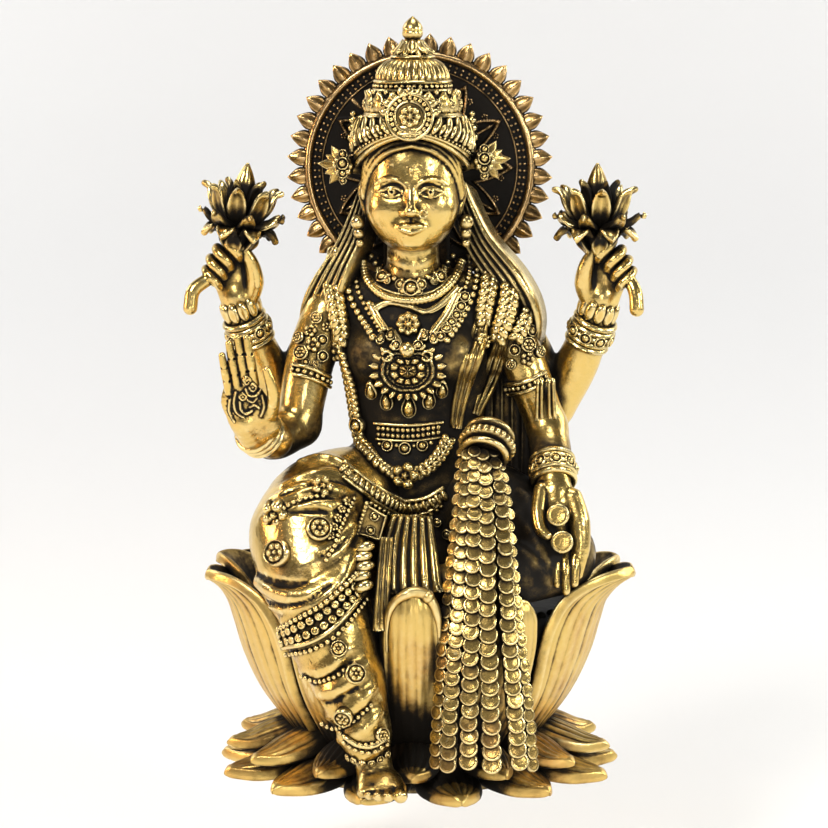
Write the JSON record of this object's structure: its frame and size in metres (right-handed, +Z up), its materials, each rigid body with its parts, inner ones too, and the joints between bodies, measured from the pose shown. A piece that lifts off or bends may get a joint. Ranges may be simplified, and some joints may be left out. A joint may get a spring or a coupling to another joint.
{
  "type": "lakshmi figure",
  "caption": "Seated four-armed goddess on a lotus plinth with a rayed halo, cast in brass in one piece, to stand on a shelf or altar.",
  "frame": {"origin": "centre of the lotus plinth's flat underside", "axes": "+Z up, the figure faces -Y, +X to the right of a viewer in front of it"},
  "size_m": [0.0897, 0.0739, 0.15],
  "materials": {
    "antique_brass": "polished raised surfaces, near-black brown patina left in the recesses"
  },
  "bodies": {
    "root": {"lakshmi_figure": "antique_brass"}
  },
  "joints": []
}
